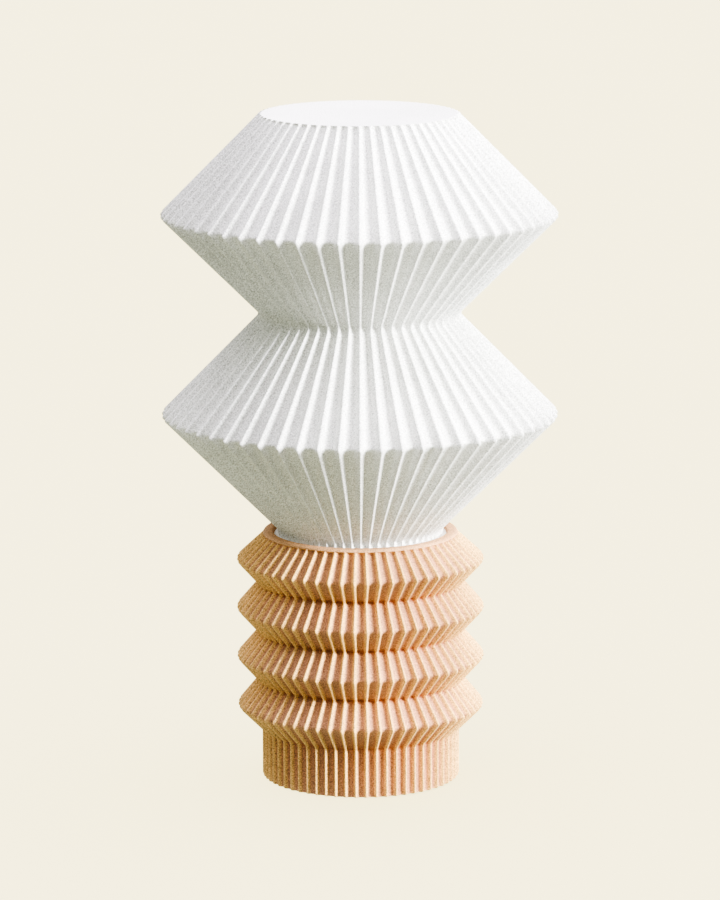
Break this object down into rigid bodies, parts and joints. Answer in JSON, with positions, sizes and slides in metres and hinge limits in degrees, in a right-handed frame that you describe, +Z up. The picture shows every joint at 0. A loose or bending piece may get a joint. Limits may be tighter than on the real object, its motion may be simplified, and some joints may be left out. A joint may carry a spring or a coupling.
{
  "type": "pleated table lamp",
  "caption": "Table lamp with a closed, stacked double-cone white pleated shade on a terracotta accordion-pleated base; E27 bulb inside, inlet and push switch at the back of the foot.",
  "frame": {"origin": "on the table, under the middle of the base", "axes": "+Z up along the lamp's axis, front of the lamp towards -Y, inlet and switch towards +Y"},
  "size_m": [0.24, 0.24, 0.4128],
  "materials": {
    "shade_white": "fine-grained matte white, paper-like, slightly translucent",
    "base_terracotta": "fine-grained matte terracotta",
    "black_steel": "black powder coat, satin",
    "bright_steel": "zinc-plated, satin",
    "black_rubber": "matte",
    "black_plastic": "fine texture, matte",
    "holder_white": "moulded, semi-matte",
    "holder_ceramic": "unglazed porcelain",
    "brass": "bright, lightly brushed",
    "cap_aluminium": "rolled, bright",
    "bulb_plastic": "moulded white, semi-gloss",
    "bulb_opal": "opal, semi-gloss",
    "cap_glass": "black glass",
    "led_board": "white-coated aluminium circuit board",
    "lead_brown": "wire insulation, satin",
    "lead_blue": "wire insulation, satin"
  },
  "bodies": {
    "root": {"base_foot": "base_terracotta", "base_tier_1": "base_terracotta", "base_tier_2": "base_terracotta", "base_tier_3": "base_terracotta", "base_tier_4": "base_terracotta", "base_well": "base_terracotta", "connector_plate": "base_terracotta", "bottom_cover": "black_steel", "rubber_feet": "black_rubber", "ballast_disc": "bright_steel", "cover_screws": "bright_steel", "power_inlet": "black_plastic", "inlet_pins": "brass", "switch_body": "black_plastic", "switch_nut": "bright_steel", "threaded_tube": "bright_steel", "tube_washer": "bright_steel", "tube_nut": "bright_steel", "holder_cap": "holder_white", "holder_insulator": "holder_ceramic", "holder_terminal_screws": "brass", "holder_skirt": "holder_white", "holder_screw_sleeve": "brass", "holder_centre_contact": "brass", "lead_neutral": "lead_blue", "lead_live": "lead_brown", "lead_link": "lead_brown"},
    "shade": {"shade_neck_ring": "shade_white", "shade_lower": "shade_white", "shade_upper": "shade_white"},
    "bulb_tip": {"bulb_tip_contact": "brass"},
    "bulb": {"bulb_cap_insulator": "cap_glass", "bulb_screw_cap": "cap_aluminium", "bulb_housing": "bulb_plastic", "bulb_led_board": "led_board", "bulb_globe": "bulb_opal"},
    "button": {"switch_button": "black_plastic"}
  },
  "joints": [
    {"name": "shade_lift", "type": "slide", "parent": "root", "child": "shade", "axis": [0, 0, 1], "range_m": [0, 0.16]},
    {"name": "bulb_rise", "type": "slide", "parent": "root", "child": "bulb_tip", "axis": [0, 0, 1], "range_m": [0, 0.01815]},
    {"name": "bulb_turn", "type": "hinge", "parent": "bulb_tip", "child": "bulb", "pos_m": [0, 0, 0.2], "axis": [0, 0, 1], "range_deg": [0, 1800]},
    {"name": "switch_press", "type": "slide", "parent": "root", "child": "button", "axis": [0, -1, 0], "range_m": [0, 0.002], "stiffness_N_per_m": 400}
  ],
  "couplings": [
    {"joint": "bulb_rise", "follows": "bulb_turn", "m_per_rad": 0.00057757}
  ]
}
